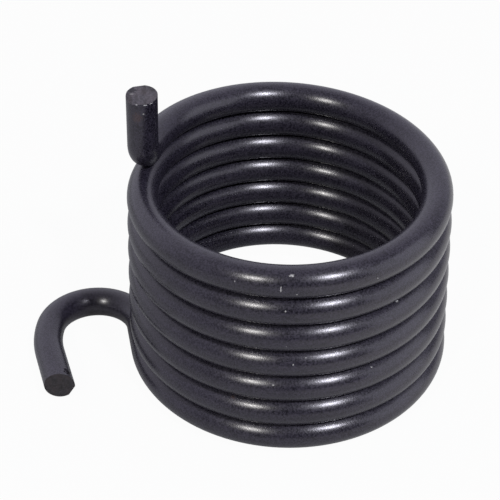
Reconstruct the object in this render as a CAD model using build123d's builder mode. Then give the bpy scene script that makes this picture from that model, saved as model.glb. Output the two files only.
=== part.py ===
from build123d import *
import os
from math import asin, atan, cos, degrees, pi, radians, sin, tan

# Torsion spring bent from one length of round spring wire.
# +Z runs up the coil axis, and z = 0 is the plane that the lowest wire rests on.
# The origin lies under the centre of the top turn, which is the narrowest one.
# The hook leaves the lowest turn on the -X side, and the tang stands above it.

# Wire and coil, in millimetres and degrees. The turns widen slightly towards the
# hook, and each has slid a little along X over the next, so that the stack leans.
wire_dia = 4.0
coil_top_inner_dia = 33.65
coil_foot_inner_dia = 35.85
coil_lean = 0.85
coil_gap = 0.05
coil_turns = 6.936
coil_foot_angle = 192.0

# Hook: a straight run off the coil, one round bend that opens into a wider one, and
# a leg that comes back beside the coil and leans towards it
hook_run_length = 5.15
hook_inner_radius = 4.4
hook_bend_angle = 163.0
hook_wide_inner_radius = 12.0
hook_wide_angle = 23.5
hook_leg_length = 6.4

# Tang: a tight elbow and a straight stub parallel to the coil axis
elbow_inner_radius = 0.1
tang_length = 7.2

# Cut ends: a broken edge on each. The shear cut the tang a little out of square, and
# its face falls towards the side that the angle gives.
hook_edge_break = 0.12
tang_edge_break = 0.15
tang_cut_side_angle = 232.0
tang_cut_slope = 6.5

# Sizes that follow from those above
wire_radius = wire_dia / 2
top_radius = coil_top_inner_dia / 2 + wire_radius
foot_radius = coil_foot_inner_dia / 2 + wire_radius
coil_pitch = wire_dia + coil_gap
coil_height = coil_pitch * coil_turns
taper_angle = degrees(atan((top_radius - foot_radius) / coil_height))
lean_slope = coil_lean / coil_height
foot_lead_angle = atan(coil_pitch / (2 * pi * foot_radius))
hook_radius = hook_inner_radius + wire_radius
hook_drop = (hook_run_length + hook_radius) * sin(foot_lead_angle)
coil_foot_height = wire_radius + hook_drop
hook_wide_radius = hook_wide_inner_radius + wire_radius
elbow_radius = elbow_inner_radius + wire_radius
tang_cut_rise = wire_radius * tan(radians(tang_cut_slope))


def direction_at(angle):
    """Level direction at an angle from +X, counterclockwise seen from above."""
    return Vector(cos(radians(angle)), sin(radians(angle)), 0)


# Coil centre line: a right-hand helix that climbs and narrows from the hook to the
# tang. Helix counts its pitch along the side of the cone, so it is given that length.
with BuildLine() as helix_line:
    Helix(
        pitch=coil_pitch / cos(radians(taper_angle)),
        height=coil_height,
        radius=foot_radius,
        center=(0, 0, coil_foot_height),
        cone_angle=taper_angle,
    )
stack_lean = Matrix(
    [
        [1, 0, -lean_slope, coil_lean + lean_slope * coil_foot_height],
        [0, 1, 0, 0],
        [0, 0, 1, 0],
        [0, 0, 0, 1],
    ]
)
coil_line = helix_line.line.rotate(Axis.Z, coil_foot_angle).transform_geometry(stack_lean)
coil_foot = coil_line @ 0
coil_top = coil_line @ 1
foot_tangent = -(coil_line % 0)
top_tangent = coil_line % 1

# Hook centre line, in the plane of the leaving wire and the coil's radius there
hook_normal = foot_tangent.cross(direction_at(coil_foot_angle))
hook_plane = Plane(origin=coil_foot, x_dir=foot_tangent, z_dir=hook_normal)
with BuildLine(hook_plane) as hook_line:
    hook_run = Line((0, 0), (hook_run_length, 0))
    hook_bend = JernArc(start=hook_run @ 1, tangent=(1, 0), radius=hook_radius, arc_size=hook_bend_angle)
    hook_wide_bend = JernArc(
        start=hook_bend @ 1,
        tangent=hook_bend % 1,
        radius=hook_wide_radius,
        arc_size=hook_wide_angle,
    )
    hook_leg = PolarLine(
        start=hook_wide_bend @ 1,
        length=hook_leg_length,
        direction=hook_wide_bend % 1,
    )

# Tang centre line, in the upright plane of the wire at the top of the coil
elbow_angle = 90 - degrees(asin(top_tangent.Z))
tang_plane = Plane(origin=coil_top, x_dir=top_tangent, z_dir=top_tangent.cross(Vector(0, 0, 1)))
with BuildLine(tang_plane) as tang_line:
    elbow = JernArc(start=(0, 0), tangent=(1, 0), radius=elbow_radius, arc_size=elbow_angle)
    tang = PolarLine(
        start=elbow @ 1,
        length=tang_length + tang_cut_rise,
        direction=elbow % 1,
    )

# The tang's cut: a plane through its middle line, a little out of square with it
cut_side = direction_at(tang_cut_side_angle)
cut_middle = (elbow @ 1) + Vector(0, 0, tang_length)
cut_normal = cut_side * sin(radians(tang_cut_slope)) + Vector(0, 0, cos(radians(tang_cut_slope)))

# The whole wire is one sweep of its round section, from the hook's tip to the tang's
with BuildPart() as torsion_spring:
    with BuildLine() as wire_line:
        add(hook_line.line)
        add(coil_line)
        add(tang_line.line)
    with BuildSketch(Plane(origin=hook_leg @ 1, z_dir=hook_leg % 1)):
        Circle(wire_radius)
    sweep(path=wire_line.wire(), is_frenet=True)
    split(bisect_by=Plane(origin=cut_middle, z_dir=cut_normal), keep=Keep.BOTTOM)
    cut_faces = torsion_spring.faces().filter_by(GeomType.PLANE).sort_by(Axis.Z)
    chamfer(cut_faces[0].edges(), length=hook_edge_break)
    chamfer(cut_faces[-1].edges(), length=tang_edge_break)
torsion_spring.part.label = "torsion_spring"

# The sweep is whole if its volume is that of the straight wire, less the cut edges
wire_length = wire_line.wire().length
straight_volume = wire_length * pi * wire_radius**2
print("Wire length", round(wire_length, 2), "mm")
print("Volume", round(torsion_spring.part.volume, 1), "of", round(straight_volume, 1), "mm3")

os.makedirs("parts", exist_ok=True)
export_step(torsion_spring.part, "parts/torsion_spring.step")
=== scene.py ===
from math import asin, atan, ceil, cos, pi, radians, sin, tan

import bmesh
import bpy
from bpy.props import FloatProperty, FloatVectorProperty, IntProperty, PointerProperty
from mathutils import Matrix, Vector


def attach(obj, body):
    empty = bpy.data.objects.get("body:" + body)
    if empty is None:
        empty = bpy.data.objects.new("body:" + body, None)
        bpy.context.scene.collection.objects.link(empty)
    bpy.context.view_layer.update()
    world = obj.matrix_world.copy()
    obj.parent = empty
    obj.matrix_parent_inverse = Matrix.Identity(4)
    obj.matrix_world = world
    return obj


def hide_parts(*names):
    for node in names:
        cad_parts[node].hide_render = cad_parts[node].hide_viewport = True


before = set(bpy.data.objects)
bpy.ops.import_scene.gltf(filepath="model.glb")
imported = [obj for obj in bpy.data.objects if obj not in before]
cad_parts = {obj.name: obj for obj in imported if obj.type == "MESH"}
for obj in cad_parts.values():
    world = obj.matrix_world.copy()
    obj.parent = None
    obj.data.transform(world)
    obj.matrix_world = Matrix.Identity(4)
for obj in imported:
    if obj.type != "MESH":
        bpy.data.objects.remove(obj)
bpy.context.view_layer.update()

bl_info = {
    "name": "Torsion spring",
    "version": (1, 0, 0),
    "blender": (4, 5, 0),
    "location": "View3D > Sidebar > Spring",
    "description": "Builds a black steel torsion spring with a hook and a tang, and its studio",
    "category": "Object",
}

# Names in the imported model that the spring stands for and rides on
SPRING_NODE = "torsion_spring"
SPRING_BODY = "root"

# The photograph's square frame in pixels, and the camera's sensor in millimetres
FRAME_PIXELS = 500
SENSOR_WIDTH = 36.0

# The camera sees what lies between these distances, in metres
NEAR_CLIP, FAR_CLIP = 0.005, 20.0

# The floor is a round plate with this radius in metres and this many sides
FLOOR_RADIUS, FLOOR_SEGMENTS = 1.5, 64

UP = Vector((0, 0, 1))

# Azimuths are counted from the front, which is -Y, towards the right
FRONT = -pi / 2

# The room is dark on one side and pale on the other. These are the places across it, from
# -1 to 1, where the dark ends and the pale starts, and the heights, of which 1 is straight
# up, between which the walls give way to the dim ceiling.
DARK_END, PALE_START = -0.6, 0.7
WALL_TOP, CEILING = 0.8, 1.0

# The gloss shows more of the white ground on the right, as a painted pool of light:
# these are the places along X where that starts and ends. Inside the coil it shows none,
# as painted shade: that shade ends between these radii. All are in metres.
GLOSS_DIM_END, GLOSS_PAINTED_LIGHT_START = 0.0, 0.035
PAINTED_SHADE_RADIUS, OPEN_RADIUS = 0.016, 0.022

# The finish is a thin varnish-like film. The drawing marks under it run along the wire,
# so that it gleams further round the wire than along it. The marks are long: their scale
# along the wire is this share of that across it.
FINISH_IOR = 1.6
FINISH_ANISOTROPY = 0.55
ACROSS_THE_WIRE = 0.25
DRAWN_SHARE = 0.03

# The detail of each noise, and the two of its values that become 0 and 1
GRAIN_NOISE = (3.0, 0.36, 0.64)
MOTTLE_NOISE = (4.0, 0.36, 0.66)
MARK_NOISE = (2.0, 0.3, 0.7)

# What each pattern adds to how thin the black finish is. The finish is so much smoother
# where it is thick, and rougher where it is thin and on a fleck.
MARK_WEIGHT, GRAIN_WEIGHT, MOTTLE_WEIGHT = 0.15, 0.7, 0.15
THICK_SMOOTHNESS, THIN_ROUGHNESS, FLECK_ROUGHNESS = 0.03, 0.05, 0.3

# A speck's radius as a share of its cell, and the share of it that is whole
SPECK_RADIUS, SPECK_CORE = 0.05, 0.6

# How ragged a spot's edge is, and where it ends and where it is whole, in half sizes
RAGGEDNESS = 0.7
SPOT_END, SPOT_CORE = 1.45, 1.05

# Places and half sizes of single flecks and stains, in millimetres
PALE_FLECKS = (
    ((0.2, -19.9, 29.3), (0.3, 0.2, 0.15)),
    ((-1.0, -20.9, 27.9), (0.09, 0.2, 0.4)),
    ((0.9, -20.9, 27.2), (0.08, 0.08, 0.08)),
    ((-0.3, -20.8, 24.5), (0.08, 0.08, 0.08)),
    ((-6.4, -19.8, 28.0), (0.1, 0.1, 0.1)),
    ((10.5, -18.2, 27.9), (0.1, 0.1, 0.1)),
    ((13.5, -15.0, 21.8), (0.2, 0.2, 0.1)),
    ((10.9, -17.9, 13.3), (0.1, 0.1, 0.1)),
    ((2.5, -20.6, 17.0), (0.08, 0.08, 0.08)),
    ((1.0, -21.2, 16.3), (0.1, 0.1, 0.1)),
    ((-1.3, -21.0, 12.6), (0.1, 0.1, 0.1)),
    ((-18.5, -0.4, 38.2), (0.12, 0.12, 0.12)),
)
RUST_STAINS = (
    ((-19.3, -0.3, 37.6), (0.6, 0.5, 0.8)),
    ((-6.2, -19.5, 8.8), (0.3, 0.3, 0.25)),
)
RIM_FLECKS = (
    ((-19.3, -0.3, 39.45), (0.15, 0.16, 0.09)),
    ((-18.2, -0.3, 39.45), (0.24, 0.16, 0.09)),
    ((-17.6, 0.1, 39.5), (0.3, 0.25, 0.06)),
)
TANG_PATCH = (((-20.1, 2.4, 39.8), (0.5, 0.5, 0.5)),)
PATCH_FLECK = (((-20.1, 1.7, 39.8), (0.25, 0.15, 0.3)),)
# The chip on the hook's cut is a dent, with painted shade in it: black, with no gloss
HOOK_CHIP_AND_SHADE = (((-28.38, -11.05, 3.95), (0.75, 0.55, 0.5)),)

# How deep the chip and the tang's patch are, in heights of the relief round them
CHIP_DEPTH, PATCH_DEPTH = 8.0, 1.5

# How strongly a stain, the patch and its fleck cover what is under them, and how much of
# the black the wear took off the rims
WIRE_STAIN_COVER, FACE_STAIN_COVER = 0.6, 0.22
PATCH_COVER, PATCH_FLECK_COVER = 0.75, 0.45
RIM_WEAR = 0.8

# Each point of the wire keeps its place in the straight wire, and which way the wire
# runs there, under these names
STRAIGHT_PLACE = "straight_wire"
RUNNING_WAY = "running_way"

# Points of two stretches this close are merged, and edges shorter than a sliver are taken
# out. The blank at each end is so much longer than its cut needs. All are in metres.
SEAM_GAP = 1e-6
SLIVER = 4e-6
CUT_SPARE = 5e-5

# The open ring at an end is looked for within this many wire radii of its middle
RING_REACH = 1.01

# The coil's steps are so many times as long as those of the hook's tight bend and of the
# tang's elbow, and a rim is rounded in so many segments
BEND_FINENESS, ELBOW_FINENESS = 2, 4
RIM_SEGMENTS = 3

# Bending the hook smoothed its finish: this share of the unevenness is left in the middle
# of the bend. That is so far along the wire, and the share grows to the whole between
# these distances from it, all in metres.
BEND_MIDDLE = 0.023
BEND_NEAR, BEND_FAR = 0.007, 0.012
BEND_UNEVENNESS = 0.3

# Heights in metres that part the hook's face from the tang's
HOOK_HEIGHT, TANG_HEIGHT = 0.01, 0.02

# The shear left streaks on both faces. They run at this angle, and their scale along
# themselves is this share of that across them. Their dark and light are these shares of
# the face's own colour. The face's relief is so many times that of the finish, and its
# roughness differs by this much either way.
STREAK_ANGLE = radians(35)
STREAK_STRETCH = 0.2
STREAK_TONES = (0.3, 1.7)
FACE_RELIEF = 2.5
FACE_ROUGHNESS_SPREAD = 0.1

# Counts of streaks, stains and worn stretches in a metre, and what streaks and grain
# each add to the tone of the faces
STREAK_SCALE, STAIN_SCALE, WEAR_SCALE = 1800.0, 1100.0, 900.0
STREAK_WEIGHT, FACE_GRAIN_WEIGHT = 0.55, 0.45

# A Mix node's sockets for its share and for two colours, and the one for their blend
MIX_SHARE, MIX_FIRST, MIX_SECOND = 0, 6, 7
MIX_RESULT = 2

# Steps from one node to the next in the node editor
NODE_WIDTH, NODE_HEIGHT = 200, 180

# Places of the cut faces' and the rims' materials on the wire, after the black one
CUT, RIM = 1, 2


def length_value(label, note, millimetres):
    """A length that the sidebar shows in the scene's units."""
    return FloatProperty(
        name=label, description=note, default=millimetres / 1000, unit="LENGTH", precision=5
    )


def angle_value(label, note, degrees_value):
    """An angle that the sidebar shows in degrees."""
    return FloatProperty(
        name=label, description=note, default=radians(degrees_value), unit="ROTATION"
    )


def colour_value(label, note, colour):
    """A linear colour with its own picker."""
    return FloatVectorProperty(
        name=label, description=note, default=colour, subtype="COLOR", size=3, min=0, max=1
    )


def share_value(label, note, share):
    """A plain share from nothing to all."""
    return FloatProperty(name=label, description=note, default=share, min=0, max=1, subtype="FACTOR")


def count_value(label, note, count):
    """How many repeats of a pattern fit in a metre."""
    return FloatProperty(name=label, description=note, default=count, min=1)


def light_value(label, light):
    """A lamp's light at the object."""
    note = "Light that falls on a face turned to it"
    return FloatProperty(name=label, description=note, default=light, min=0)


def in_metres(millimetres):
    """A place or size in metres."""
    return tuple(part / 1000 for part in millimetres)


class SpringSizes(bpy.types.PropertyGroup):
    """Sizes of the wire and of each stretch that it is bent into."""

    wire_diameter: length_value("Wire diameter", "Thickness of the round wire", 4.0)
    top_inner_diameter: length_value("Top inner diameter", "Inside of the highest turn", 33.65)
    foot_inner_diameter: length_value("Foot inner diameter", "Inside of the lowest turn", 35.85)
    coil_lean: length_value("Lean", "How far the top turn has slid over the lowest", 0.85)
    coil_gap: length_value("Turn gap", "Clear gap from one turn to the next", 0.05)
    coil_turns: FloatProperty(name="Turns", description="Turns of the coil", default=6.936, min=1)
    foot_angle: angle_value("Foot angle", "Where round the axis the hook leaves the coil", 192.0)
    hook_run: length_value("Hook run", "Straight run from the coil to the hook's bend", 5.15)
    hook_inner_radius: length_value("Hook inner radius", "Inside of the hook's bend", 4.4)
    hook_bend: angle_value("Hook bend", "Angle that the hook's bend turns through", 163.0)
    hook_wide_inner_radius: length_value("Wide bend", "Inside of the wider bend after it", 12.0)
    hook_wide_bend: angle_value("Wide bend angle", "Angle that the wider bend turns through", 23.5)
    hook_leg: length_value("Hook leg", "Straight leg that ends the hook", 6.4)
    hook_spare: length_value("Hook spare", "How far the middle of the hook's cut stands out", 0.5)
    hook_cut_side: angle_value("Hook cut side", "How far below its coil side the leg is longest", 5.0)
    hook_cut_slope: angle_value("Hook cut slope", "How far out of square the hook's cut is", 14.0)
    hook_flat_side: angle_value("Hook flat side", "How far below its coil side the rim is flat", 34.0)
    hook_flat_slope: angle_value("Hook flat slope", "Slant of that flat against the cut", 65.0)
    hook_flat_reach: length_value("Hook flat reach", "Where that flat starts, from the middle", 1.82)
    elbow_inner_radius: length_value("Elbow inner radius", "Inside of the tang's elbow", 0.1)
    tang_length: length_value("Tang length", "Stub above the elbow, to its cut's middle", 7.2)
    hook_edge_break: length_value("Hook edge break", "Broken edge round the hook's cut end", 0.08)
    tang_edge_break: length_value("Tang edge break", "Broken edge round the tang's cut end", 0.12)
    cut_side: angle_value("Cut side", "Side that the tang's cut face falls towards", 262.0)
    cut_slope: angle_value("Cut slope", "How far out of square the tang's cut is", 5.6)
    roll_side: angle_value("Rolled side", "Side of the cut face that the shear rolled over", 225.0)
    roll_slope: angle_value("Rolled slope", "Slant of the rolled side", 24.0)
    roll_reach: length_value("Rolled reach", "Where the rolled side starts, from the middle", 1.3)
    nick_side: angle_value("Nick side", "Side of the cut face that is nicked", 106.0)
    nick_slope: angle_value("Nick slope", "Slant of the nick", 60.0)
    nick_depth: length_value("Nick depth", "How low the nick is at the wire's side", 0.25)
    ring_segments: IntProperty(
        name="Ring segments", description="Sides of the round section", default=56, min=12, max=96
    )
    steps_per_turn: IntProperty(
        name="Steps per turn", description="Stations in one turn of the coil", default=128, min=24, max=200
    )


class SpringFinish(bpy.types.PropertyGroup):
    """Colours and gloss of the black finish and of the cut ends."""

    black: colour_value("Black", "The finish where it is thickest", (0.0015, 0.001, 0.004))
    worn_black: colour_value("Worn black", "The finish where it is thin", (0.03, 0.0262, 0.04))
    tang_face: colour_value("Tang face", "The sheared face of the tang", (0.045, 0.039, 0.048))
    hook_face: colour_value("Hook face", "The sheared face of the hook", (0.016, 0.0135, 0.016))
    bare_steel: colour_value("Bare steel", "Bright flecks on the rims of the cut ends", (0.42, 0.41, 0.42))
    dust: colour_value("Dust", "Pale specks on the wire", (0.30, 0.29, 0.29))
    gleam: colour_value("Gleam", "Faint violet tint of the finish's gloss", (1.0, 0.955, 1.0))
    rust: colour_value("Rust", "Faint brown stains on the ends", (0.050, 0.030, 0.030))
    gloss_roughness: share_value("Roughness", "Roughness of the black finish", 0.27)
    cut_roughness: share_value("Cut roughness", "Roughness of the sheared faces", 0.55)
    relief: length_value("Relief", "Height of the finish's grain", 0.0035)
    grain_share: share_value("Grain share", "Share of the fine grain in the relief", 0.5)
    mark_share: share_value("Mark share", "Share of the drawing marks in the relief", 0.7)
    grain_scale: count_value("Grain scale", "Grains of the colour in a metre", 4200.0)
    relief_scale: count_value("Relief scale", "Grains of the relief in a metre", 6500.0)
    mark_scale: count_value("Mark scale", "Drawing marks in a metre across the wire", 3600.0)
    mottle_scale: count_value("Mottle scale", "Patches of thin finish in a metre", 300.0)
    speck_scale: count_value("Speck scale", "Cells in a metre that may hold a speck", 450.0)
    speck_share: share_value("Speck share", "Share of the cells that hold a speck", 0.035)


class SpringStudio(bpy.types.PropertyGroup):
    """Camera and soft studio light, at the photograph's viewing angle."""

    aim: FloatVectorProperty(
        name="Aim",
        description="Point in the coil that the camera looks at",
        default=(-0.004749, -0.006487, 0.022238),
        subtype="TRANSLATION",
        size=3,
        precision=5,
    )
    distance: length_value("Distance", "From the aim to the camera", 170.868)
    elevation: angle_value("Elevation", "Camera's height above the floor, as an angle", 38.3065)
    roll: angle_value("Roll", "Camera's turn about its own line of sight", 2.016)
    focal_pixels: FloatProperty(
        name="Focal length", description="Focal length in pixels of the frame", default=1340.5
    )
    backdrop: colour_value("Backdrop", "The white ground", (1.0, 1.0, 1.0))
    ground: colour_value("Ground", "The floor's own colour, which takes the shadow", (0.38, 0.38, 0.39))
    shadow_share: share_value("Shadow share", "How much of the floor's shadow the camera sees", 0.04)
    gloss_white: share_value("White in gloss", "How much of the white ground the gloss shows", 0.14)
    # On the right the gloss shows more white: a painted pool of light on the ground
    gloss_painted_light_right: share_value("White in gloss, right", "The same on the right of the spring", 0.78)
    overhead: colour_value("Overhead", "The dim room above the lamps", (0.28, 0.275, 0.325))
    pale_wall: colour_value("Pale wall", "The pale room behind the spring", (0.84, 0.84, 0.96))
    dark_wall: colour_value("Dark wall", "The dark room behind the camera", (0.02, 0.02, 0.026))
    pale_azimuth: angle_value("Pale wall azimuth", "From the front towards the right", -152.0)
    warm_colour: colour_value("Warm lamp colour", "The left lamp", (0.98, 1.0, 0.93))
    warm_azimuth: angle_value("Warm lamp azimuth", "From the front towards the right", -27.0)
    warm_elevation: angle_value("Warm lamp elevation", "Above the floor", 42.0)
    warm_irradiance: light_value("Warm lamp light", 1.25)
    cool_colour: colour_value("Cool lamp colour", "The right lamp", (0.90, 0.93, 1.0))
    cool_azimuth: angle_value("Cool lamp azimuth", "From the front towards the right", 34.0)
    cool_elevation: angle_value("Cool lamp elevation", "Above the floor", 52.0)
    cool_irradiance: light_value("Cool lamp light", 2.05)
    side_azimuth: angle_value("Side screen azimuth", "From the front towards the right", 76.0)
    side_elevation: angle_value("Side screen elevation", "Above the floor", 20.0)
    side_irradiance: light_value("Side screen light", 1.0)
    lamp_distance: length_value("Lamp distance", "From the aim to the lamps", 900.0)
    lamp_width: length_value("Lamp width", "Diameter of the two lamps", 75.0)
    side_width: length_value("Side screen width", "Side of the square screen on the right", 800.0)


def level_direction(angle):
    """Level direction at an angle from +X, counterclockwise seen from above."""
    return Vector((cos(angle), sin(angle), 0))


def ring_edges(ring):
    """The edges that close a ring of points."""
    members = set(ring)
    return list({edge for vert in ring for edge in vert.link_edges if members.issuperset(edge.verts)})


def steps_for(length, step):
    """How many steps of about that size a stretch takes."""
    return max(1, ceil(length / step))


class WireTube:
    """A round tube grown ring by ring along the wire. Each point keeps its place in the straight wire.

    Every stretch grows in a mesh of its own, because growing slows as a mesh gets larger.
    """

    def __init__(self, start, direction, radius, segments):
        turn = direction.to_track_quat("Z", "X").to_matrix().to_4x4()
        self.frame = Matrix.Translation(start) @ turn
        self.radius = radius
        self.segments = segments
        self.run = 0.0
        self.stretches = []

    @property
    def point(self):
        """Centre of the newest ring."""
        return self.frame.translation.copy()

    @property
    def direction(self):
        """Direction that the newest ring faces."""
        return self.frame.col[2].xyz.normalized()

    def stretch(self, steps, moves):
        """Grows one stretch. Each step's move is a matrix that carries the newest ring onwards."""
        mesh = bmesh.new()
        place = mesh.verts.layers.float_vector.new(STRAIGHT_PLACE)
        way = mesh.verts.layers.float_vector.new(RUNNING_WAY)
        circle = bmesh.ops.create_circle(mesh, segments=self.segments, radius=self.radius)
        ring = circle["verts"]
        for vert in ring:
            vert[place] = vert.co + UP * self.run
            vert[way] = self.direction
        bmesh.ops.transform(mesh, matrix=self.frame, verts=ring)
        edges = mesh.edges[:]
        for step in range(steps):
            grown = bmesh.ops.extrude_edge_only(mesh, edges=edges)["geom"]
            ring = [part for part in grown if isinstance(part, bmesh.types.BMVert)]
            edges = ring_edges(ring)
            before = self.point
            move = moves(step)
            bmesh.ops.transform(mesh, matrix=move, verts=ring)
            self.frame = move @ self.frame
            self.run += (self.point - before).length
            for vert in ring:
                vert[place].z = self.run
                vert[way] = self.direction
        data = bpy.data.meshes.new("stretch")
        mesh.to_mesh(data)
        mesh.free()
        self.stretches.append(data)

    def go_straight(self, length, step):
        """A straight stretch, in steps of about that size."""
        steps = steps_for(length, step)
        move = Matrix.Translation(self.direction * (length / steps))
        self.stretch(steps, lambda count: move)

    def go_round(self, centre, axis, radius, angle, step):
        """A bend about an axis through its centre, in steps of about that size."""
        steps = steps_for(radius * abs(angle), step)
        to_centre = Matrix.Translation(centre)
        move = to_centre @ Matrix.Rotation(angle / steps, 4, axis) @ to_centre.inverted()
        self.stretch(steps, lambda count: move)

    def go_up_coil(self, centre, coil, steps):
        """Turns about the upright axis that climb, narrow and lean evenly, a turn to a stretch."""
        turn = Matrix.Rotation(2 * pi * coil.turns / steps, 4, "Z")
        slide = (coil.lean + UP * coil.height) / steps

        def move(count):
            to_centre = Matrix.Translation(centre)
            turned = to_centre @ turn @ to_centre.inverted() @ self.frame
            spoke = turned.translation - centre
            spoke.z = 0
            centre.xyz += slide
            inward = spoke.normalized() * (coil.narrowing / steps)
            return Matrix.Translation(slide - inward) @ to_centre @ turn @ to_centre.inverted()

        per_turn = ceil(steps / coil.turns)
        for first in range(0, steps, per_turn):
            self.stretch(min(per_turn, steps - first), move)

    def joined(self):
        """All the stretches as one mesh, merged where they meet."""
        whole = bmesh.new()
        for data in self.stretches:
            whole.from_mesh(data)
            bpy.data.meshes.remove(data)
        bmesh.ops.remove_doubles(whole, verts=whole.verts, dist=SEAM_GAP)
        return whole


class SpringRoute:
    """Lengths, heights and directions of the wire's centre line that follow from its sizes."""

    def __init__(self, sizes):
        self.wire_radius = sizes.wire_diameter / 2
        self.top_radius = sizes.top_inner_diameter / 2 + self.wire_radius
        self.foot_radius = sizes.foot_inner_diameter / 2 + self.wire_radius
        self.narrowing = self.foot_radius - self.top_radius
        self.turns = sizes.coil_turns
        self.pitch = sizes.wire_diameter + sizes.coil_gap
        self.height = self.pitch * self.turns
        self.lean = Vector((-sizes.coil_lean, 0, 0))
        self.hook_radius = sizes.hook_inner_radius + self.wire_radius
        self.wide_radius = sizes.hook_wide_inner_radius + self.wire_radius
        self.elbow_radius = sizes.elbow_inner_radius + self.wire_radius
        lead = atan(self.pitch / (2 * pi * self.foot_radius))
        drop = (sizes.hook_run + self.hook_radius) * sin(lead)
        self.axis_foot = Vector((sizes.coil_lean, 0, self.wire_radius + drop))
        spoke = level_direction(sizes.foot_angle)
        self.foot = self.axis_foot + spoke * self.foot_radius
        self.leaving = -(UP.cross(spoke) * cos(lead) + UP * sin(lead))
        self.hook_axis = self.leaving.cross(spoke).normalized()
        outward = self.hook_axis.cross(self.leaving)
        run_end = self.foot + self.leaving * sizes.hook_run
        self.bend_centre = run_end + outward * self.hook_radius
        bend = Matrix.Rotation(sizes.hook_bend, 3, self.hook_axis)
        bend_end = self.bend_centre + bend @ (run_end - self.bend_centre)
        self.wide_centre = bend_end + bend @ outward * self.wide_radius
        wide_bend = Matrix.Rotation(sizes.hook_wide_bend, 3, self.hook_axis)
        wide_end = self.wide_centre + wide_bend @ (bend_end - self.wide_centre)
        self.leg_direction = wide_bend @ bend @ self.leaving
        self.hook_tip = wide_end + self.leg_direction * sizes.hook_leg


def model_wire(sizes):
    """The whole wire from the hook's tip to the tang's, as one open tube, and its route."""
    route = SpringRoute(sizes)
    step = 2 * pi * route.foot_radius / sizes.steps_per_turn
    spare = sizes.hook_spare + route.wire_radius * tan(sizes.hook_cut_slope) + CUT_SPARE
    blank_tip = route.hook_tip + route.leg_direction * spare
    tube = WireTube(blank_tip, -route.leg_direction, route.wire_radius, sizes.ring_segments)
    tube.go_straight(sizes.hook_leg + spare, step)
    axis = route.hook_axis
    tube.go_round(route.wide_centre, axis, route.wide_radius, -sizes.hook_wide_bend, step)
    tube.go_round(route.bend_centre, axis, route.hook_radius, -sizes.hook_bend, step / BEND_FINENESS)
    tube.go_straight(sizes.hook_run, step)
    tube.go_up_coil(route.axis_foot.copy(), route, ceil(route.turns * sizes.steps_per_turn))
    climb = tube.direction
    elbow_axis = climb.cross(UP).normalized()
    elbow_centre = tube.point + elbow_axis.cross(climb) * route.elbow_radius
    elbow_angle = pi / 2 - asin(climb.z)
    elbow_step = step / ELBOW_FINENESS
    tube.go_round(elbow_centre, elbow_axis, route.elbow_radius, elbow_angle, elbow_step)
    cut_middle = tube.point + UP * sizes.tang_length
    tube.go_straight(sizes.tang_length + route.wire_radius * tan(sizes.cut_slope) + CUT_SPARE, step)
    return tube, route, blank_tip, cut_middle


def close_end(mesh, centre, radius):
    """Closes the open end at a centre with a flat cut face."""
    reach = radius * RING_REACH
    ring = [vert for vert in mesh.verts if vert.is_boundary and (vert.co - centre).length < reach]
    bmesh.ops.contextual_create(mesh, geom=ring_edges(ring))["faces"][0].material_index = CUT


def break_edges(mesh, centre, reach, width):
    """Rounds the edges of the cut faces near a centre, as a worn rim of its own material."""
    faces = [
        face
        for face in mesh.faces
        if face.material_index == CUT and (face.calc_center_median() - centre).length < reach
    ]
    rounded = bmesh.ops.bevel(
        mesh,
        geom=list({edge for face in faces for edge in face.edges}),
        offset=width,
        offset_type="OFFSET",
        affect="EDGES",
        segments=RIM_SEGMENTS,
        profile=0.5,
        material=-1,
        clamp_overlap=True,
    )["faces"]
    for face in rounded:
        face.material_index = RIM


def shade_rims(mesh):
    """Shades the mesh smooth, with a crisp line where a worn rim starts and ends."""
    for face in mesh.faces:
        face.smooth = face.material_index != CUT
    for edge in mesh.edges:
        edge.smooth = len({face.material_index for face in edge.link_faces}) == 1


def shear_off(mesh, near, point, normal):
    """Cuts off what lies beyond a plane near a point, and closes the cut with a flat face."""
    reach = [face for face in mesh.faces if (face.calc_center_median() - point).length < near]
    geometry = set(reach)
    for face in reach:
        geometry.update(face.edges)
        geometry.update(face.verts)
    cut = bmesh.ops.bisect_plane(
        mesh, geom=list(geometry), plane_co=point, plane_no=normal, clear_outer=True
    )["geom_cut"]
    rim = [part for part in cut if isinstance(part, bmesh.types.BMEdge)]
    for face in bmesh.ops.contextual_create(mesh, geom=rim)["faces"]:
        face.material_index = CUT


def side_of_leg(leg, angle):
    """Direction square to the hook's leg, so far below its coil side."""
    inward = UP.cross(leg).normalized()
    return inward * cos(angle) - leg.cross(inward) * sin(angle)


def shear_hook(mesh, route, sizes):
    """Shears the hook's end slantwise, so that it is longest low on its coil side."""
    leg = route.leg_direction
    longest = side_of_leg(leg, sizes.hook_cut_side)
    middle = route.hook_tip + leg * sizes.hook_spare
    normal = leg * cos(sizes.hook_cut_slope) - longest * sin(sizes.hook_cut_slope)
    shear_off(mesh, sizes.wire_diameter, middle, normal)
    outward = side_of_leg(leg, sizes.hook_flat_side)
    rise = outward.dot(longest) * tan(sizes.hook_cut_slope)
    start = middle + (outward + leg * rise) * sizes.hook_flat_reach
    flat_normal = outward * sin(sizes.hook_flat_slope) + leg * cos(sizes.hook_flat_slope)
    shear_off(mesh, sizes.wire_diameter, start, flat_normal)
    return middle


def shear_tang(mesh, middle, sizes):
    """Shears the tang's end a little out of square, rolls its left edge over and nicks its back."""
    near = sizes.wire_diameter
    radius = sizes.wire_diameter / 2
    fall = level_direction(sizes.cut_side) * tan(sizes.cut_slope)
    for side, slope, reach, drop in (
        (sizes.cut_side, sizes.cut_slope, 0, 0),
        (sizes.roll_side, sizes.roll_slope, sizes.roll_reach, 0),
        (sizes.nick_side, sizes.nick_slope, radius, sizes.nick_depth),
    ):
        outward = level_direction(side)
        start = middle + outward * reach - UP * (fall.dot(outward) * reach + drop)
        normal = outward * sin(slope) + UP * cos(slope)
        shear_off(mesh, near, start, normal)


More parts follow.
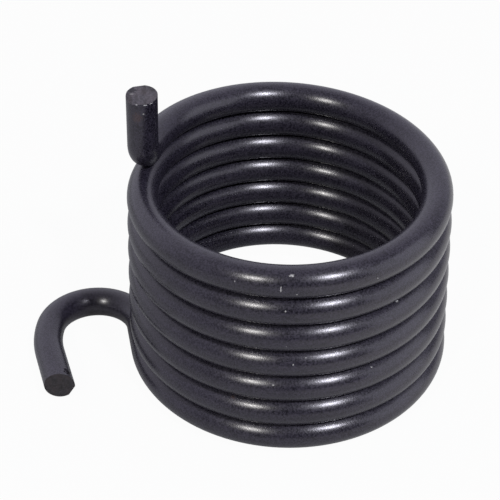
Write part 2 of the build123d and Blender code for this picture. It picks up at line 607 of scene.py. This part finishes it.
def finished_mesh(mesh, name):
    """Turns the build mesh into a shaded mesh of its own, without the slivers that the cuts left."""
    bmesh.ops.dissolve_degenerate(mesh, dist=SLIVER, edges=mesh.edges)
    bmesh.ops.recalc_face_normals(mesh, faces=mesh.faces)
    data = bpy.data.meshes.new(name)
    mesh.to_mesh(data)
    mesh.free()
    return data


def add_object(name, data):
    """A new object of the scene, with its data."""
    made = bpy.data.objects.new(name, data)
    bpy.context.scene.collection.objects.link(made)
    return made


def add_piece(name, data, materials):
    """Links a finished piece into the scene at the origin."""
    for material in materials:
        data.materials.append(material)
    return add_object(name, data)


def feed(tree, made, values):
    """Links or sets a node's inputs, by name or by number. A colour gets its alpha here."""
    for name, value in values.items():
        socket = made.inputs[name]
        if isinstance(value, bpy.types.NodeSocket):
            tree.links.new(value, socket)
        elif socket.type == "RGBA":
            socket.default_value = (*value, 1.0)
        else:
            socket.default_value = value


def node(tree, kind, x, y, inputs=None, **settings):
    """A shader node at a place in its editor, with its settings and inputs."""
    made = tree.nodes.new("ShaderNode" + kind)
    made.location = (x, y)
    for key, value in settings.items():
        setattr(made, key, value)
    feed(tree, made, inputs or {})
    return made


def calculate(tree, x, y, operation, *values):
    """The result of one step of arithmetic."""
    return node(tree, "Math", x, y, dict(enumerate(values)), operation=operation).outputs[0]


def vector_step(tree, x, y, operation, *values):
    """The outputs of one step of vector arithmetic."""
    return node(tree, "VectorMath", x, y, dict(enumerate(values)), operation=operation).outputs


def spread(tree, x, y, value, low, high, to_low=0.0, to_high=1.0):
    """A value's range stretched to another range, and held to it."""
    ranges = {"Value": value, "From Min": low, "From Max": high, "To Min": to_low, "To Max": to_high}
    return node(tree, "MapRange", x, y, ranges).outputs["Result"]


def weighted_sum(tree, x, y, *terms):
    """The sum of some values, each times its weight."""
    total = 0.0
    for count, (value, weight) in enumerate(terms):
        total = calculate(tree, x + NODE_WIDTH * count, y, "MULTIPLY_ADD", value, weight, total)
    return total


def noise(tree, x, y, place, scale, detail, low, high):
    """Cloudy noise, with its range from low to high stretched to run from 0 to 1."""
    made = node(tree, "TexNoise", x, y, {"Vector": place, "Scale": scale, "Detail": detail})
    return spread(tree, x + NODE_WIDTH, y, made.outputs["Fac"], low, high)


def blend(tree, x, y, share, first, second):
    """One colour faded into another."""
    made = node(tree, "Mix", x, y, data_type="RGBA")
    feed(tree, made, {MIX_SHARE: share, MIX_FIRST: first, MIX_SECOND: second})
    return made.outputs[MIX_RESULT]


def cover(tree, x, y, mask, strength, under, colour):
    """A colour with another laid over it where a mask says, as strongly as given."""
    share = calculate(tree, x - NODE_WIDTH, y + NODE_HEIGHT, "MULTIPLY", mask, strength)
    return blend(tree, x, y, share, under, colour)


def shared_group(name, inputs, outputs):
    """The named node group. An empty one gets its sockets, and says that it still needs nodes."""
    if name in bpy.data.node_groups:
        return bpy.data.node_groups[name], False
    group = bpy.data.node_groups.new(name, "ShaderNodeTree")
    for label, kind in inputs.items():
        group.interface.new_socket(label, in_out="INPUT", socket_type=kind)
    for label in outputs:
        group.interface.new_socket(label, in_out="OUTPUT", socket_type="NodeSocketFloat")
    return group, True


def group_ends(group):
    """The input sockets and the output node of a group that is being filled."""
    entry = group.nodes.new("NodeGroupInput")
    entry.location = (-900, 0)
    leave = group.nodes.new("NodeGroupOutput")
    leave.location = (500, 0)
    return entry.outputs, leave


def steel_grain():
    """Group: fine uneven grain, as a value from 0 to 1."""
    group, empty = shared_group(
        "steel_grain", {"Place": "NodeSocketVector", "Scale": "NodeSocketFloat"}, ["Grain"]
    )
    if empty:
        entry, leave = group_ends(group)
        feed(group, leave, {"Grain": noise(group, -500, 0, entry["Place"], entry["Scale"], *GRAIN_NOISE)})
    return group


def scattered_specks():
    """Group: sparse round specks, each in a cell of its own."""
    group, empty = shared_group(
        "scattered_specks",
        {
            "Place": "NodeSocketVector",
            "Scale": "NodeSocketFloat",
            "Share": "NodeSocketFloat",
            "Radius": "NodeSocketFloat",
        },
        ["Mask"],
    )
    if empty:
        entry, leave = group_ends(group)
        cells = node(
            group, "TexVoronoi", -650, 0, {"Vector": entry["Place"], "Scale": entry["Scale"]}
        )
        lot = node(group, "SeparateColor", -450, -150, {"Color": cells.outputs["Color"]})
        chosen = calculate(group, -250, -150, "LESS_THAN", lot.outputs["Red"], entry["Share"])
        edge = calculate(group, -250, 100, "DIVIDE", cells.outputs["Distance"], entry["Radius"])
        inside = spread(group, 0, 100, edge, 1.0, SPECK_CORE)
        feed(group, leave, {"Mask": calculate(group, 250, 0, "MULTIPLY", chosen, inside)})
    return group


def ragged_spot():
    """Group: one spot with a ragged edge, about a centre and as wide as its half sizes."""
    group, empty = shared_group(
        "ragged_spot",
        {
            "Place": "NodeSocketVector",
            "Centre": "NodeSocketVector",
            "Half Size": "NodeSocketVector",
            "Grain": "NodeSocketFloat",
        },
        ["Mask"],
    )
    if empty:
        entry, leave = group_ends(group)
        offset = vector_step(group, -650, 0, "SUBTRACT", entry["Place"], entry["Centre"])[0]
        scaled = vector_step(group, -450, 0, "DIVIDE", offset, entry["Half Size"])[0]
        reach = vector_step(group, -250, 0, "LENGTH", scaled)["Value"]
        ragged = calculate(group, -50, 0, "MULTIPLY_ADD", entry["Grain"], RAGGEDNESS, reach)
        feed(group, leave, {"Mask": spread(group, 200, 0, ragged, SPOT_END, SPOT_CORE)})
    return group


def use_group(tree, group, x, y, inputs):
    """The result of a node group used in a material."""
    made = node(tree, "Group", x, y, node_tree=group)
    feed(tree, made, inputs)
    return made.outputs[0]


def grained(tree, x, y, place, scale):
    """Steel grain at a scale, as a value from 0 to 1."""
    return use_group(tree, steel_grain(), x, y, {"Place": place, "Scale": scale})


def spots_mask(tree, x, y, place, grain, spots):
    """The mask of some ragged spots, given by their centres and half sizes in millimetres."""
    result = 0.0
    for count, (centre, half_size) in enumerate(spots):
        row = y - NODE_HEIGHT * count
        spot = use_group(tree, ragged_spot(), x, row, {
            "Place": place,
            "Centre": in_metres(centre),
            "Half Size": in_metres(half_size),
            "Grain": grain,
        })
        result = calculate(tree, x + NODE_WIDTH, row, "MAXIMUM", result, spot)
    return result


def empty_tree(owner):
    """The node tree of a new material or world, with nothing in it."""
    owner.use_nodes = True
    owner.node_tree.nodes.clear()
    return owner.node_tree


def new_material(name):
    """A material with a Principled surface and nothing else."""
    material = bpy.data.materials.new(name)
    tree = empty_tree(material)
    output = node(tree, "OutputMaterial", 900, 0)
    surface = node(tree, "BsdfPrincipled", 600, 0)
    tree.links.new(surface.outputs["BSDF"], output.inputs["Surface"])
    return material, tree, surface


def black_material(finish):
    """The satin black finish of the wire: mottled, finely grained, with a few pale flecks."""
    material, tree, surface = new_material("black_finish")
    place = node(tree, "TexCoord", -1500, 300).outputs["Object"]
    wire = node(tree, "Attribute", -1500, -300, attribute_name=STRAIGHT_PLACE).outputs["Vector"]

    # Patterns
    grain = grained(tree, -1100, 300, place, finish.grain_scale)
    fine = grained(tree, -1100, -500, place, finish.relief_scale)
    mottle = noise(tree, -1100, 100, place, finish.mottle_scale, *MOTTLE_NOISE)
    drawn = node(tree, "Mapping", -1300, -300, {"Vector": wire, "Scale": (1.0, 1.0, DRAWN_SHARE)})
    marks = noise(tree, -1100, -300, drawn.outputs[0], finish.mark_scale, *MARK_NOISE)
    thin = weighted_sum(
        tree, -750, 50, (marks, MARK_WEIGHT), (grain, GRAIN_WEIGHT), (mottle, MOTTLE_WEIGHT)
    )

    # Flecks, stains, and the chip, whose dent is painted black as shade
    dust = use_group(tree, scattered_specks(), -900, -600, {
        "Place": place,
        "Scale": finish.speck_scale,
        "Share": finish.speck_share,
        "Radius": SPECK_RADIUS,
    })
    single = spots_mask(tree, -900, -800, place, grain, PALE_FLECKS)
    fleck = calculate(tree, -300, -700, "MAXIMUM", dust, single)
    stain = spots_mask(tree, -900, 1400, place, grain, RUST_STAINS)
    bare = spots_mask(tree, -900, 2000, place, grain, RIM_FLECKS)
    chip_and_shade = spots_mask(tree, -900, 1000, place, grain, HOOK_CHIP_AND_SHADE)

    # Colour
    clean = blend(tree, -300, 250, thin, finish.black, finish.worn_black)
    stained = cover(tree, -100, 350, stain, WIRE_STAIN_COVER, clean, finish.rust)
    # The chip is painted black, as painted shade in its dent
    shaded_chip = blend(tree, 0, 500, chip_and_shade, stained, finish.black)
    dusty = blend(tree, 150, 350, fleck, shaded_chip, finish.dust)
    colour = blend(tree, 300, 250, bare, dusty, finish.bare_steel)

    # Roughness and relief, both smoother in the middle of the hook's bend
    along = node(tree, "SeparateXYZ", -900, -450, {"Vector": wire}).outputs["Z"]
    past_middle = calculate(tree, -900, -600, "SUBTRACT", along, BEND_MIDDLE)
    from_middle = calculate(tree, -750, -600, "ABSOLUTE", past_middle)
    uneven = spread(tree, -600, -550, from_middle, BEND_NEAR, BEND_FAR, BEND_UNEVENNESS, 1.0)
    short_of_matt = calculate(tree, -400, -50, "SUBTRACT", thin, 1.0)
    matt = calculate(tree, -250, -50, "MULTIPLY_ADD", uneven, short_of_matt, 1.0)
    thick_roughness = finish.gloss_roughness - THICK_SMOOTHNESS
    thin_roughness = finish.gloss_roughness + THIN_ROUGHNESS
    film_roughness = spread(tree, -100, -50, matt, 0.0, 1.0, thick_roughness, thin_roughness)
    roughness = calculate(tree, 100, -50, "MULTIPLY_ADD", fleck, FLECK_ROUGHNESS, film_roughness)
    texture = weighted_sum(tree, -750, -400, (marks, finish.mark_share), (fine, finish.grain_share))
    spots_relief = calculate(tree, -300, -450, "MULTIPLY_ADD", chip_and_shade, -CHIP_DEPTH, fleck)
    relief = calculate(tree, -100, -300, "MULTIPLY_ADD", texture, uneven, spots_relief)
    bump = node(tree, "Bump", 300, -300, {"Strength": 1.0, "Distance": finish.relief, "Height": relief})
    feed(tree, surface, {
        "Base Color": colour,
        "Roughness": roughness,
        # Black metal in the chip reflects nothing, as painted shade
        "Metallic": chip_and_shade,
        "IOR": FINISH_IOR,
        "Specular Tint": finish.gleam,
        "Anisotropic": FINISH_ANISOTROPY,
        "Anisotropic Rotation": ACROSS_THE_WIRE,
        "Tangent": node(tree, "Attribute", 300, -500, attribute_name=RUNNING_WAY).outputs["Vector"],
        "Normal": bump.outputs["Normal"],
    })
    return material


def face_colours(finish, shade):
    """The hook's and the tang's face colour, each made darker or lighter."""
    return [tuple(part * shade for part in face) for face in (finish.hook_face, finish.tang_face)]


def cut_material(finish):
    """The sheared faces at the wire's two ends: matt, streaked by the shear, with a darker patch."""
    material, tree, surface = new_material("cut_face")
    place = node(tree, "TexCoord", -1300, 200).outputs["Object"]
    grain = grained(tree, -900, 300, place, finish.grain_scale)
    sheared = node(tree, "Mapping", -1100, 0, {
        "Vector": place,
        "Rotation": (0.0, 0.0, STREAK_ANGLE),
        "Scale": (1.0, STREAK_STRETCH, 1.0),
    })
    streaks = grained(tree, -900, 0, sheared.outputs[0], STREAK_SCALE)
    tone = weighted_sum(tree, -750, 100, (grain, FACE_GRAIN_WEIGHT), (streaks, STREAK_WEIGHT))
    stain = grained(tree, -900, 600, place, STAIN_SCALE)
    patch = spots_mask(tree, -600, 800, place, grain, TANG_PATCH)
    fleck = spots_mask(tree, -600, 1000, place, grain, PATCH_FLECK)
    bare = spots_mask(tree, -600, 1200, place, grain, RIM_FLECKS)

    height = node(tree, "SeparateXYZ", -900, -200, {"Vector": place}).outputs["Z"]
    which = spread(tree, -700, -200, height, HOOK_HEIGHT, TANG_HEIGHT)
    dark, light = (
        blend(tree, -500, -NODE_HEIGHT * (count + 1), which, *face_colours(finish, shade))
        for count, shade in enumerate(STREAK_TONES)
    )
    clean = blend(tree, -300, 100, tone, dark, light)
    stained = cover(tree, -200, 300, stain, FACE_STAIN_COVER, clean, finish.rust)
    patched = cover(tree, -100, 200, patch, PATCH_COVER, stained, finish.black)
    flecked = cover(tree, 50, 300, fleck, PATCH_FLECK_COVER, patched, finish.dust)
    colour = blend(tree, 200, 200, bare, flecked, finish.bare_steel)

    hollow = calculate(tree, -300, -200, "MULTIPLY", patch, -PATCH_DEPTH)
    relief = calculate(tree, -100, -200, "ADD", tone, hollow)
    distance = finish.relief * FACE_RELIEF
    bump = node(tree, "Bump", 300, -200, {"Strength": 1.0, "Distance": distance, "Height": relief})
    roughest = finish.cut_roughness + FACE_ROUGHNESS_SPREAD
    smoothest = finish.cut_roughness - FACE_ROUGHNESS_SPREAD
    feed(tree, surface, {
        "Base Color": colour,
        "Roughness": spread(tree, 100, -50, tone, 0.0, 1.0, roughest, smoothest),
        "Normal": bump.outputs["Normal"],
    })
    return material


def rim_material(finish):
    """The worn rims of the cut ends: black, with bright flecks where the steel shows."""
    material, tree, surface = new_material("worn_rim")
    place = node(tree, "TexCoord", -1300, 200).outputs["Object"]
    grain = grained(tree, -900, 300, place, finish.grain_scale)
    worn = grained(tree, -900, 0, place, WEAR_SCALE)
    bare = spots_mask(tree, -600, -200, place, grain, RIM_FLECKS)
    edge_colour = cover(tree, -300, 200, worn, RIM_WEAR, finish.worn_black, finish.tang_face)
    feed(tree, surface, {
        "Base Color": blend(tree, 100, 200, bare, edge_colour, finish.bare_steel),
        "Roughness": spread(
            tree, 100, -200, grain, 0.0, 1.0, finish.gloss_roughness, finish.cut_roughness
        ),
    })
    return material


class SPRING_OT_wire(bpy.types.Operator):
    """Builds the spring from one length of round wire"""

    bl_idname = "spring.wire"
    bl_label = "Spring wire"

    def execute(self, context):
        sizes = context.scene.spring_sizes
        finish = context.scene.spring_finish
        tube, route, blank_tip, cut_middle = model_wire(sizes)
        mesh = tube.joined()
        close_end(mesh, blank_tip, route.wire_radius)
        close_end(mesh, tube.point, route.wire_radius)
        hook_middle = shear_hook(mesh, route, sizes)
        shear_tang(mesh, cut_middle, sizes)
        break_edges(mesh, hook_middle, sizes.wire_diameter, sizes.hook_edge_break)
        break_edges(mesh, cut_middle, sizes.wire_diameter, sizes.tang_edge_break)
        shade_rims(mesh)
        data = finished_mesh(mesh, "spring_wire")
        materials = [black_material(finish), cut_material(finish), rim_material(finish)]
        piece = add_piece("spring_wire", data, materials)
        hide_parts(SPRING_NODE)
        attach(piece, SPRING_BODY)
        return {"FINISHED"}


def facing(aim, azimuth, elevation, roll, distance):
    """The place of a lamp or a camera that faces the aim from a distance."""
    return (
        Matrix.Translation(aim)
        @ Matrix.Rotation(azimuth, 4, "Z")
        @ Matrix.Rotation(pi / 2 - elevation, 4, "X")
        @ Matrix.Rotation(roll, 4, "Z")
        @ Matrix.Translation((0, 0, distance))
    )


def add_lamp(name, studio, azimuth, elevation, shape, width, colour, light):
    """An area lamp turned to the aim. Its power gives the wanted light at the aim."""
    distance = studio.lamp_distance
    lamp = bpy.data.lights.new(name, "AREA")
    lamp.shape = shape
    lamp.size = width
    lamp.color = colour
    lamp.energy = light * pi * distance**2
    add_object(name, lamp).matrix_world = facing(studio.aim, azimuth, elevation, 0.0, distance)


def add_camera(studio):
    """The camera, at the photograph's place and with its field of view."""
    data = bpy.data.cameras.new("camera")
    data.sensor_width = SENSOR_WIDTH
    data.lens = studio.focal_pixels / FRAME_PIXELS * SENSOR_WIDTH
    data.clip_start = NEAR_CLIP
    data.clip_end = FAR_CLIP
    camera = add_object("camera", data)
    camera.matrix_world = facing(studio.aim, 0.0, studio.elevation, studio.roll, studio.distance)
    return camera


def floor_material(studio):
    """White to the camera but for a share of its shadow, partly so in gloss with painted light on the
    right and painted shade in the coil, and pale to light.
    """
    material = bpy.data.materials.new("pale_floor")
    tree = empty_tree(material)
    output = node(tree, "OutputMaterial", 600, 0)
    path = node(tree, "LightPath", -900, 0).outputs
    seen = calculate(tree, -500, 100, "MULTIPLY", path["Is Camera Ray"], 1.0 - studio.shadow_share)
    gloss = calculate(tree, -700, -100, "MAXIMUM", path["Is Glossy Ray"], path["Is Transmission Ray"])
    place = node(tree, "TexCoord", -1100, -300).outputs["Object"]
    across = node(tree, "SeparateXYZ", -900, -300, {"Vector": place}).outputs["X"]
    # In gloss the ground is whiter on the right, a painted pool of light, and shows no white inside the
    # coil, as painted shade
    white_and_painted_light = spread(
        tree, -700, -300, across, GLOSS_DIM_END, GLOSS_PAINTED_LIGHT_START,
        studio.gloss_white, studio.gloss_painted_light_right,
    )
    from_axis = vector_step(tree, -900, -500, "LENGTH", place)["Value"]
    out_of_painted_shade = spread(tree, -700, -500, from_axis, PAINTED_SHADE_RADIUS, OPEN_RADIUS)
    painted_gloss_white = calculate(tree, -500, -300, "MULTIPLY", white_and_painted_light, out_of_painted_shade)
    shown = calculate(tree, -400, -100, "MULTIPLY", gloss, painted_gloss_white)
    share = calculate(tree, -300, 0, "MAXIMUM", seen, shown)
    white = node(tree, "Emission", -100, -200, {"Color": studio.backdrop, "Strength": 1.0})
    matt = node(tree, "BsdfDiffuse", -100, 100, {"Color": studio.ground})
    mixed = node(tree, "MixShader", 300, 0, {0: share, 1: matt.outputs[0], 2: white.outputs[0]})
    tree.links.new(mixed.outputs[0], output.inputs["Surface"])
    return material


def surroundings(studio):
    """A world that is white to the camera, dark on one side, pale on the other and dim overhead."""
    world = bpy.data.worlds.new("surroundings")
    tree = empty_tree(world)
    output = node(tree, "OutputWorld", 600, 0)
    place = node(tree, "TexCoord", -1100, 0).outputs["Generated"]
    pale_way = level_direction(studio.pale_azimuth + FRONT)
    across = vector_step(tree, -900, 100, "DOT_PRODUCT", place, pale_way)["Value"]
    to_pale = spread(tree, -700, 100, across, DARK_END, PALE_START)
    height = node(tree, "SeparateXYZ", -900, -100, {"Vector": place}).outputs["Z"]
    rise = spread(tree, -700, -100, height, WALL_TOP, CEILING)
    walls = blend(tree, -450, 100, to_pale, studio.dark_wall, studio.pale_wall)
    room = blend(tree, -200, 0, rise, walls, studio.overhead)
    seen = node(tree, "LightPath", -200, 300).outputs["Is Camera Ray"]
    colour = blend(tree, 50, 100, seen, room, studio.backdrop)
    light = node(tree, "Background", 300, 0, {"Color": colour, "Strength": 1.0})
    tree.links.new(light.outputs[0], output.inputs["Surface"])
    return world


class SPRING_OT_studio(bpy.types.Operator):
    """Sets the floor, the lamps, the pale surroundings and the camera"""

    bl_idname = "spring.studio"
    bl_label = "Studio"

    def execute(self, context):
        scene = context.scene
        studio = scene.spring_studio
        mesh = bmesh.new()
        bmesh.ops.create_circle(mesh, cap_ends=True, segments=FLOOR_SEGMENTS, radius=FLOOR_RADIUS)
        data = bpy.data.meshes.new("floor")
        mesh.to_mesh(data)
        mesh.free()
        floor = add_piece("floor", data, [floor_material(studio)])
        scene.world = surroundings(studio)

        add_lamp(
            "warm_lamp", studio, studio.warm_azimuth, studio.warm_elevation,
            "DISK", studio.lamp_width, studio.warm_colour, studio.warm_irradiance,
        )
        add_lamp(
            "cool_lamp", studio, studio.cool_azimuth, studio.cool_elevation,
            "DISK", studio.lamp_width, studio.cool_colour, studio.cool_irradiance,
        )
        add_lamp(
            "side_screen", studio, studio.side_azimuth, studio.side_elevation,
            "SQUARE", studio.side_width, studio.cool_colour, studio.side_irradiance,
        )

        scene.camera = add_camera(studio)
        scene.view_settings.view_transform = "Standard"
        return {"FINISHED"}


class VIEW3D_PT_spring(bpy.types.Panel):
    """Sidebar panel with the spring's values and its build steps."""

    bl_idname = "VIEW3D_PT_spring"
    bl_label = "Torsion spring"
    bl_space_type = "VIEW_3D"
    bl_region_type = "UI"
    bl_category = "Spring"

    def draw(self, context):
        layout = self.layout
        scene = context.scene
        for group in (scene.spring_sizes, scene.spring_finish, scene.spring_studio):
            box = layout.box()
            for name in group.__annotations__:
                box.prop(group, name)
        for step in BUILD_STEPS:
            layout.operator(step.bl_idname)


BUILD_STEPS = (SPRING_OT_wire, SPRING_OT_studio)
CLASSES = (SpringSizes, SpringFinish, SpringStudio) + BUILD_STEPS + (VIEW3D_PT_spring,)


def register():
    """Makes the classes and their values known to Blender."""
    for item in CLASSES:
        bpy.utils.register_class(item)
    bpy.types.Scene.spring_sizes = PointerProperty(type=SpringSizes)
    bpy.types.Scene.spring_finish = PointerProperty(type=SpringFinish)
    bpy.types.Scene.spring_studio = PointerProperty(type=SpringStudio)


def unregister():
    """Takes the values and the classes away again."""
    del bpy.types.Scene.spring_studio
    del bpy.types.Scene.spring_finish
    del bpy.types.Scene.spring_sizes
    for item in reversed(CLASSES):
        bpy.utils.unregister_class(item)


def main():
    """Registers the classes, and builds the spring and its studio."""
    register()
    bpy.ops.spring.wire()
    bpy.ops.spring.studio()


if __name__ == "__main__":
    main()
